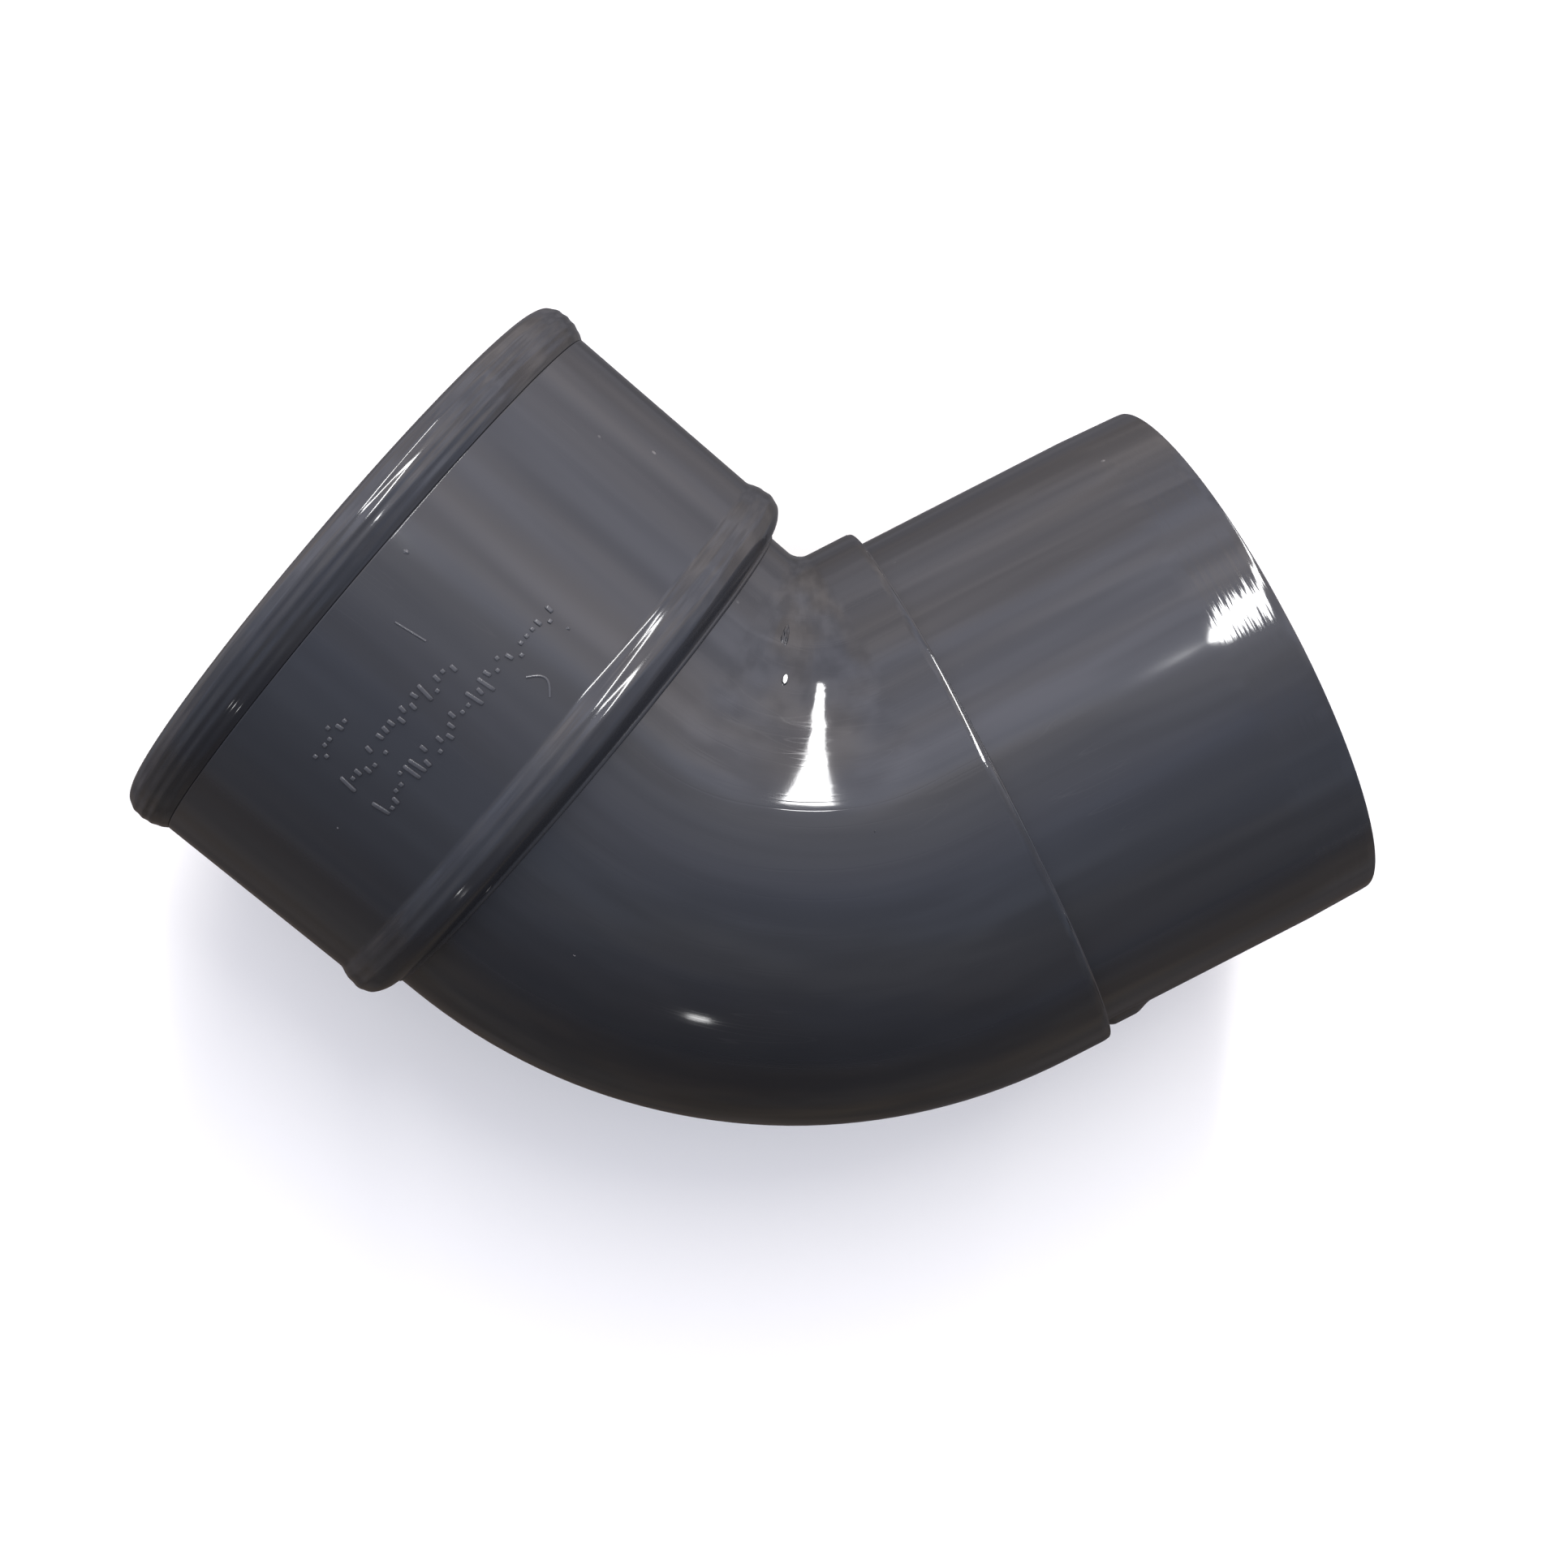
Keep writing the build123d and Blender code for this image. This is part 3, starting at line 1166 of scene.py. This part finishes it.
@dataclass
class SocketCollar(Maker):
    """The socket's sleeve, with its rolled bead at the base and rows of plain raised marks.

    Where a lone mark starts, and each step along it, is a station and an angle in degrees.
    """

    slot: ClassVar[Slot] = Slot.COLLAR
    outer: float = 39.1
    bore: float = 36.0
    seat: float = 37.9
    seat_start: float = -30.8
    end: float = -33.4
    base: float = 2.0
    bead_half: float = 3.05
    bead_height: float = 0.8
    foot: float = 36.3
    ridge_depth: float = 0.085
    ridge_pitch: float = 1.7
    joint_rounding: float = 0.2
    mark_height: float = 2.3
    mark_stroke: float = 0.5
    mark_proud: float = 0.2
    lone_sunk: float = 0.05
    dash_start: tuple[float, float] = (-24.6, 86.9)
    dash_step: tuple[float, float] = (0.42, -0.09)
    dash_points: int = 10
    curve_start: tuple[float, float] = (-10.2, 80.4)
    curve_length: float = 3.3
    curve_turn: float = 1.9
    curve_steps: int = 12

    def wall(self) -> list[Corner]:
        """Draw the collar's section."""
        crest, top = self.base - self.bead_half, self.outer + self.bead_height
        swell = (self.bead_half**2 + self.bead_height**2) / (2 * self.bead_height)
        rise = math.degrees(math.asin(self.bead_half / swell))
        rolled = [
            *arc(crest, top - swell, swell, swell, 90 + rise * 0.72, 90)[:-1],
            *arc(crest, self.foot, self.bead_half, top - self.foot, 90, 0)[:-1],
        ]
        return [
            Corner(self.end, self.bore, 0.3),
            Corner(self.end, self.seat, 0.2),
            Corner(self.seat_start, self.seat, 0.1),
            Corner(self.seat_start, self.outer, self.joint_rounding),
            Corner(self.base - 2 * self.bead_half, self.outer, 0.6),
            *rippled(rolled, self.ridge_depth, self.ridge_pitch, crest),
            Corner(self.base, self.foot, 0.05),
            Corner(self.base, self.bore, 0.05),
        ]

    def mark_rows(self, finish: Material) -> None:
        """Set the rows of raised marks on the side that faces up.

        Args:
            finish: Their material.
        """
        for name, station, first, last, count, seed in (
            ("mark_row_first", -22.0, 104.4, 112.6, 7, 11),
            ("mark_row_second", -17.4, 86.6, 112.8, 19, 23),
            ("mark_row_third", -13.0, 69.6, 112.4, 31, 5),
        ):
            values = {
                "Count": count,
                "Station": station * MM,
                "Wall Radius": self.outer * MM,
                "First Angle": math.radians(first),
                "Last Angle": math.radians(last),
                "Mark Height": self.mark_height * MM,
                "Stroke": self.mark_stroke * MM,
                "Proud": self.mark_proud * MM,
                "Seed": seed,
                "Finish": finish,
            }
            self.place(self.shop.marks.bake(name, mesh_of(name, [(0.0, 0.0, 0.0)]), values))

    def lone_marks(self, finish: Material) -> None:
        """Set the straight dash, the curved mark and the dots beside the rows.

        Args:
            finish: Their material.
        """
        wall = self.outer - self.lone_sunk
        (station, angle), (slide, turn) = self.dash_start, self.dash_step
        dash = [(station + k * slide, angle + k * turn) for k in range(self.dash_points)]
        (station, angle), steps = self.curve_start, self.curve_steps
        curve = [
            (station + self.curve_length * k / steps, angle - self.curve_turn * math.sin(math.pi * k / steps))
            for k in range(steps + 1)
        ]
        for name, line, radius, wobble in (
            ("mark_dash", dash, 0.16, 0.2),
            ("mark_curve", curve, 0.17, 0.25),
        ):
            points = [PATH.at(station, wall, math.radians(angle)) for station, angle in line]
            self.place(self.shop.run_bead(name, points, False, radius, finish, wobble))
        for dot in (
            Blister("mark_dot", -10.1, 70.0, 0.34, 0.27, 0.12),
            Blister("mark_dot_high", -28.5, 77.3, 0.5, 0.4, 0.12),
            Blister("mark_dot_low", -15.2, 121.0, 0.2, 0.16, 0.12),
        ):
            self.place(raise_blister(dot, self.outer, finish))

    def build(self) -> None:
        """Make and place the collar's pieces."""
        finish = PlasticFinish(
            "pvc_moulded_collar",
            roughness=0.10,
            peel=0.0017,
            turned_lines=0.006,
            turned_span=(self.base - 2 * self.bead_half, self.base + 1.0),
            seed=11.0,
        ).build()
        self.place(self.shop.turn("collar_shell", self.wall(), finish, 0.04, 12.0), "socket_collar")
        # The marks' rougher gloss is their own, but their paler colour is a painted highlight that stands in
        # for glints on the raised marks.
        marks_painted_glint_finish = PlasticFinish(
            "pvc_marks_painted_glint", (0.072, 0.073, 0.078), (0.036, 0.037, 0.041), 0.24, scuffs=0.0, seed=13.0
        ).build()
        self.mark_rows(marks_painted_glint_finish)
        self.lone_marks(marks_painted_glint_finish)


@dataclass
class RetainingRing(Maker):
    """The rolled ring that closes the mouth."""

    body: ClassVar[Body] = Body.RING
    slot: ClassVar[Slot] = Slot.RING
    mouth: float = -37.0
    skirt: float = SocketCollar.seat_start
    crest_radius: float = 40.15
    skirt_radius: float = SocketCollar.outer
    inner: float = 38.0
    nose: float = 37.2
    opening: float = 34.9
    wall_front: float = -35.4
    fullness: float = 2.4
    ridge_depth: float = 0.09
    ridge_pitch: float = 1.25
    joint_rounding: float = 0.25

    def wall(self) -> list[Corner]:
        """Draw the ring's section."""
        half = (self.skirt - self.mouth) / 2
        crest, height = self.mouth + half, self.crest_radius - self.skirt_radius
        swell = (half**2 + height**2) / (2 * height)
        fall = math.degrees(math.asin(half / swell))
        rolled = [
            *arc(crest, self.nose, half, self.crest_radius - self.nose, 180, 90, self.fullness)[1:-1],
            *arc(crest, self.crest_radius - swell, swell, swell, 90, 90 - fall * 0.95),
        ]
        return [
            Corner(self.mouth, self.opening, 0.3),
            Corner(self.mouth, self.nose, 0.0),
            *rippled(rolled, self.ridge_depth, self.ridge_pitch, crest),
            Corner(self.skirt, self.skirt_radius, self.joint_rounding),
            Corner(self.skirt, self.inner, 0.15),
            Corner(self.wall_front, self.inner, 0.2),
            Corner(self.wall_front, self.opening, 0.2),
        ]

    def build(self) -> None:
        """Make and place the ring."""
        finish = PlasticFinish(
            "pvc_moulded_ring",
            roughness=0.08,
            turned_lines=0.008,
            turned_span=(self.mouth - 2.0, self.skirt + 2.0),
            seed=21.0,
        ).build()
        self.place(self.shop.turn("ring_shell", self.wall(), finish, 0.05, 22.0), "retaining_ring")


@dataclass
class LipSeal(Maker):
    """The rubber seal behind the ring: a flange and a lip that leans in to the pipe."""

    body: ClassVar[Body] = Body.SEAL
    slot: ClassVar[Slot] = Slot.SEAL
    front: float = RetainingRing.wall_front
    back: float = SocketCollar.end
    flange_outer: float = 37.8
    flange_inner: float = 35.2
    neck: float = 35.9
    tip: float = -28.9
    tip_inner: float = 34.05
    tip_outer: float = 34.75
    rib_height: float = 0.22
    rib_half_width: float = 0.28
    rib_count: int = 3
    first_rib: float = 0.30
    rib_spacing: float = 0.17

    def wall(self) -> list[Corner]:
        """Draw the seal's section, with three fine ribs on the lip's inner face."""
        ribs: list[Corner] = []
        for k in range(self.rib_count):
            along = self.first_rib + self.rib_spacing * k
            station = self.tip + (self.front - self.tip) * along
            radius = self.tip_inner + (self.flange_inner - self.tip_inner) * along
            ribs += [
                Corner(station + self.rib_half_width, radius, 0.06),
                Corner(station, radius - self.rib_height * (0.5 + 0.25 * k), 0.12),
                Corner(station - self.rib_half_width, radius + 0.08, 0.06),
            ]
        return [
            Corner(self.front, self.flange_outer, 0.25),
            Corner(self.back, self.flange_outer, 0.25),
            Corner(self.back, self.neck, 0.12),
            Corner(self.tip, self.tip_outer, 0.24),
            Corner(self.tip, self.tip_inner, 0.24),
            *ribs,
            Corner(self.front, self.flange_inner, 0.3),
        ]

    def build(self) -> None:
        """Make and place the seal."""
        finish = RubberFinish().build()
        self.place(self.shop.turn("seal_body", self.wall(), finish, 0.03, 31.0), "lip_seal")


@dataclass
class SpigotStub(Maker):
    """The plain spigot, drawn in a little at its free end, with a small lug on the heel side."""

    slot: ClassVar[Slot] = Slot.SPIGOT
    outer: float = 34.0
    bore: float = 32.0
    length: float = 37.2
    lap: float = 8.0
    lap_outer: float = 33.5
    end_edge: float = 0.8
    draw_in_length: float = 8.4
    draw_in_slope: float = 1.9
    rim_length: float = 1.2
    rim_slope: float = 6.0
    lug_angle: float = 165.0
    lug_start: float = 1.9
    lug_length: float = 4.2
    lug_ramp: float = 2.7
    lug_width: float = 10.0
    lug_proud: float = 0.72
    lug_sunk: float = 0.25
    lug_steps: tuple[int, int] = (34, 24)
    flat_length: float = 16.0

    def end_station(self) -> float:
        """Return the station of the free end."""
        return STEP_STATION + self.length

    def drawn_in(self) -> list[Corner]:
        """Draw the outside where it closes in towards the free end.

        Returns:
            The corners, from where the closing in starts to the free end.
        """
        steps = 24
        slope, rim = (math.tan(math.radians(a)) for a in (self.draw_in_slope, self.rim_slope))
        start = self.end_station() - self.draw_in_length
        corners = []
        for k in range(steps + 1):
            run = self.draw_in_length * k / steps
            past = max(0.0, run - self.draw_in_length + self.rim_length)
            drop = slope * run + (rim - slope) * past * past / (2 * self.rim_length)
            corners.append(Corner(start + run, self.outer - drop, self.end_edge if k == steps else 0.0))
        return corners

    def wall(self) -> list[Corner]:
        """Draw the spigot's section."""
        lap_start = STEP_STATION - self.lap
        return [
            Corner(lap_start, self.bore, 0.3),
            Corner(lap_start, self.lap_outer, 0.2),
            Corner(STEP_STATION, self.lap_outer, 0.05),
            Corner(STEP_STATION, self.outer, 0.05),
            *self.drawn_in(),
            Corner(self.end_station(), self.bore, 0.4),
        ]

    def lug(self, finish: Material) -> Object:
        """Make the heel lug: a low block with rounded sides that ramps down into the wall.

        Args:
            finish: Its material.

        Returns:
            The lug.
        """
        along_steps, across_steps = self.lug_steps
        total = self.lug_length + self.lug_ramp
        points: list[Vector] = []
        for i in range(along_steps + 1):
            run = total * i / along_steps
            ramp = min(1.0, (total - run) / self.lug_ramp, 0.15 + run / self.lug_start)
            height = self.lug_proud * ramp * ramp * (3 - 2 * ramp)
            for j in range(across_steps + 1):
                side = 2 * j / across_steps - 1
                rise = (height + self.lug_sunk) * (1 - side * side) - self.lug_sunk
                angle = math.radians(self.lug_angle) + side * self.lug_width / 2 / self.outer
                points.append(PATH.at(STEP_STATION + 0.02 + run, self.outer + rise, angle))
        stride = across_steps + 1
        faces = [
            (i * stride + j, i * stride + j + 1, (i + 1) * stride + j + 1, (i + 1) * stride + j)
            for i in range(along_steps)
            for j in range(across_steps)
        ]
        ends = (tuple(range(stride)), tuple(range(along_steps * stride, (along_steps + 1) * stride)))
        flat = (
            tuple(i * stride for i in range(along_steps + 1))
            + tuple(i * stride + across_steps for i in range(along_steps, -1, -1))
        )
        return dressed_mesh("heel_lug", points, [*faces, *ends, flat], finish)

    def build(self) -> None:
        """Make and place the spigot's pieces."""
        finish = PlasticFinish(
            "pvc_drawn_spigot",
            roughness=0.065,
            peel=0.0008,
            draw_lines=0.0016,
            turned_lines=0.02,
            turned_span=(self.end_station() - self.draw_in_length, self.end_station() + 1.0),
            seed=41.0,
        ).build()
        flat_start = self.end_station() - self.draw_in_length - self.flat_length - 0.5
        flat = FlatSpot(0.17, 76.0, 8.0, flat_start, self.flat_length)
        tube = self.shop.turn("spigot_tube", self.wall(), finish, 0.03, 42.0, flat)
        self.place(tube, "spigot_stub")
        self.place(self.lug(finish))


@dataclass
class CementLines(Maker):
    """Thin beads of cement that squeezed out at the collar's base and at the step."""

    slot: ClassVar[Slot] = Slot.CEMENT
    collar_bead: float = 0.42
    step_bead: float = 0.14
    wobble: float = 0.1
    points: int = 260

    def build(self) -> None:
        """Make and place both beads."""
        finish = CementFinish().build()
        turns = [math.tau * k / self.points for k in range(self.points)]
        for name, station, radius, bead, part in (
            ("cement_collar", SocketCollar.base + 0.1, BendBarrel.outer, self.collar_bead, "socket_cement"),
            ("cement_step", STEP_STATION + 0.02, SpigotStub.outer, self.step_bead, "spigot_cement"),
        ):
            circle = [PATH.at(station, radius, turn) for turn in turns]
            self.place(self.shop.run_bead(name, circle, True, bead, finish, self.wobble), part)


# --- Studio ---


@dataclass
class Studio:
    """The camera, the pale floor and the soft light."""

    camera_place: Vector = Vector((-0.014684, 0.029630, 0.279092))
    camera_forward: Vector = Vector((0.137026, -0.057388, -0.988904))
    camera_up: Vector = Vector((-0.638425, 0.758200, -0.132462))
    lens: float = 51.10
    sensor: float = 36.0
    clip: tuple[float, float] = (0.01, 50.0)
    floor_size: float = 14.0
    backdrop_height: float = 8.0
    bright_side: Vector = Vector((-0.617, 0.787, 0.0))
    strip_height: float = 1.5
    strip_near: tuple[float, float] = (-0.175, 0.385)
    strip_far: tuple[float, float] = (-1.90, 2.57)
    strip_widths: tuple[float, ...] = (0.085, 0.115, 0.16)
    strip_radiance: float = 34.0
    lamp_direction: Vector = Vector((0.483, -0.797, 0.363))
    lamp_target: Vector = Vector((0.025, 0.0, 0.0))
    lamp_distance: float = 1.2
    lamp_side: float = 0.05
    lamp_radiance: float = 14.0
    object_top: Vector = Vector((0.02, 0.02, 0.033))
    backdrop_sides: int = 64
    backdrop_share: float = 0.49
    high_sky: tuple = (
        (0.00, (0.10, 0.10, 0.11)),
        (0.08, (0.20, 0.20, 0.23)),
        (0.16, (0.34, 0.36, 0.42)),
        (0.26, (0.46, 0.50, 0.60)),
        (0.45, (0.68, 0.73, 0.92)),
        (0.55, (0.90, 0.96, 1.16)),
        (0.65, (1.52, 1.55, 1.74)),
        (0.75, (2.02, 1.98, 2.16)),
        (0.90, (2.00, 1.95, 2.10)),
        (1.00, (1.90, 1.86, 2.04)),
    )
    low_sky: tuple = (
        (0.00, (0.085, 0.070, 0.055)),
        (0.15, (0.18, 0.155, 0.13)),
        (0.35, (0.34, 0.30, 0.29)),
        (0.55, (0.78, 0.76, 0.80)),
        (0.75, (1.05, 0.98, 1.00)),
        (1.00, (1.35, 1.28, 1.32)),
    )
    cool_tone: Colour = (0.96, 0.985, 1.05)
    warm_tone: Colour = (1.05, 1.0, 0.94)
    tone_scale: float = 2.6
    patch_scale: float = 5.5
    patch_levels: tuple[float, float] = (0.78, 1.22)
    horizon_level: float = 0.74
    nadir_level: float = 0.2
    horizon_blend: float = 0.02

    def camera(self) -> None:
        """Set the camera above the bend."""
        data = bpy.data.cameras.new("studio_camera")
        data.lens, data.sensor_width = self.lens, self.sensor
        data.clip_start, data.clip_end = self.clip
        camera = in_scene("studio_camera", data)
        right = self.camera_forward.cross(self.camera_up).normalized()
        turn = Matrix((right, self.camera_up, -self.camera_forward)).transposed()
        camera.matrix_world = Matrix.Translation(self.camera_place) @ turn.to_4x4()
        bpy.context.scene.camera = camera

    @staticmethod
    def stand(name: str, points: Sequence, faces: Sequence, finish: PaperFinish) -> Object:
        """Stand a piece of studio paper that the camera sees and reflections don't.

        Args:
            name: The paper's name.
            points: Its points, in metres.
            faces: Its faces, as indices of the points.
            finish: Its finish.

        Returns:
            The paper.
        """
        mesh = mesh_of(name, points, faces)
        mesh.materials.append(finish.build())
        paper = in_scene(name, mesh)
        paper.visible_glossy = paper.visible_diffuse = False
        return paper

    def floor(self) -> None:
        """Lay the floor under the bend's lowest point."""
        low, half = cad_box[0].z, self.floor_size / 2
        corners = [(-half, -half, low), (half, -half, low), (half, half, low), (-half, half, low)]
        self.stand("studio_floor", corners, [(0, 1, 2, 3)], PaperFinish())

    def backdrop(self) -> None:
        """Stand a tall round backdrop behind the floor, which casts no shadow."""
        low, radius, sides = cad_box[0].z, self.floor_size * self.backdrop_share, self.backdrop_sides
        turns = [math.tau * k / sides for k in range(sides)]
        points = [
            (radius * math.cos(a), radius * math.sin(a), low + height)
            for height in (0.0, self.backdrop_height)
            for a in turns
        ]
        faces = [(k, (k + 1) % sides, sides + (k + 1) % sides, sides + k) for k in range(sides)]
        finish = PaperFinish("backdrop_paper", (0.0, 0.0, 0.0), 1.0)
        paper = self.stand("studio_backdrop", points, faces, finish)
        paper.visible_shadow = paper.visible_transmission = False

    def sky(self) -> None:
        """Light the room softly: brighter on one side, dim below the horizon."""
        world = bpy.data.worlds.new("studio_sky")
        bpy.context.scene.world = world
        world.use_nodes = True
        graph = Graph(world.node_tree)
        way = graph.node("ShaderNodeTexCoord", None, None, "Generated")
        across = graph.over_vectors("DOT_PRODUCT", way, self.bright_side, "Value") * 0.5 + 0.5
        up = graph.parts(way)[2]
        low, high = (
            graph.node("ShaderNodeValToRGB", {"stops": stops}, {0: across}, "Color")
            for stops in (self.low_sky, self.high_sky)
        )
        warmth = graph.noise(way, self.tone_scale, 1.0, 8.0).fade(0.38, 0.62)
        tone = graph.mix(warmth, self.cool_tone, self.warm_tone)
        colour = graph.over_vectors("MULTIPLY", graph.mix(up.fade(-0.14, 0.1), low, high), tone, "Vector")
        dim, bright = self.patch_levels
        level = dim + graph.noise(way, self.patch_scale, 2.0, 3.0).fade(0.3, 0.7) * (bright - dim)
        above = self.horizon_level + up.fade(0.0, 0.7) * (1 - self.horizon_level)
        below = 1 - up.fade(-0.25, -1.0) * (1 - self.nadir_level)
        edge = self.horizon_blend
        strength = level * (above * up.fade(-edge, edge) + below * up.fade(edge, -edge))
        colour = graph.node("ShaderNodeVectorMath", {"operation": "SCALE"}, {0: colour, "Scale": strength})
        glow = graph.node("ShaderNodeBackground", None, {"Color": colour, "Strength": 1.0})
        graph.node("ShaderNodeOutputWorld", None, {"Surface": glow})

    @staticmethod
    def area_light(name: str, size: tuple[float, float], radiance: float) -> Object:
        """Make a rectangular light that the camera doesn't see.

        Args:
            name: The light's name.
            size: Its two sides, in metres.
            radiance: How bright its face is.

        Returns:
            The light, still to be placed.
        """
        data = bpy.data.lights.new(name, "AREA")
        data.shape, data.size, data.size_y = "RECTANGLE", *size
        data.energy = radiance * math.pi * size[0] * size[1]
        light = in_scene(name, data)
        light.visible_camera = False
        return light

    def strip(self) -> None:
        """Hang the long light overhead as a row of panels that widen towards its far end."""
        up = Vector((0.0, 0.0, 1.0))
        near, far = (
            self.object_top + Vector((x, y, 1.0)) * self.strip_height
            for x, y in (self.strip_near, self.strip_far)
        )
        along = (far - near).normalized()
        turn = Matrix((along, up.cross(along), up)).transposed().to_4x4()
        count = len(self.strip_widths)
        for k, width in enumerate(self.strip_widths):
            size = ((far - near).length / count, width * self.strip_height)
            panel = self.area_light(f"strip_panel_{k + 1}", size, self.strip_radiance)
            panel.matrix_world = Matrix.Translation(near.lerp(far, (k + 0.5) / count)) @ turn

    def small_lamp(self) -> None:
        """Hang the small lamp low on the heel side."""
        lamp = self.area_light("small_lamp", (self.lamp_side, self.lamp_side), self.lamp_radiance)
        lamp.location = self.lamp_target + self.lamp_direction * self.lamp_distance
        lamp.rotation_mode = "QUATERNION"
        lamp.rotation_quaternion = (-self.lamp_direction).to_track_quat("-Z", "Y")

    def build(self) -> None:
        """Set up the whole studio."""
        self.camera()
        self.floor()
        self.backdrop()
        self.sky()
        self.strip()
        self.small_lamp()
        bpy.context.scene.view_settings.view_transform = "Standard"


def main() -> None:
    """Build the studio, then each sub-assembly, and report what was made."""
    logging.basicConfig(level=logging.INFO, format="%(message)s")
    Studio().build()
    shop = Workshop()
    for maker in (BendBarrel, SocketCollar, RetainingRing, LipSeal, SpigotStub, CementLines):
        log.info("building %s", maker.__name__)
        maker(shop).build()


if __name__ == "__main__":
    main()
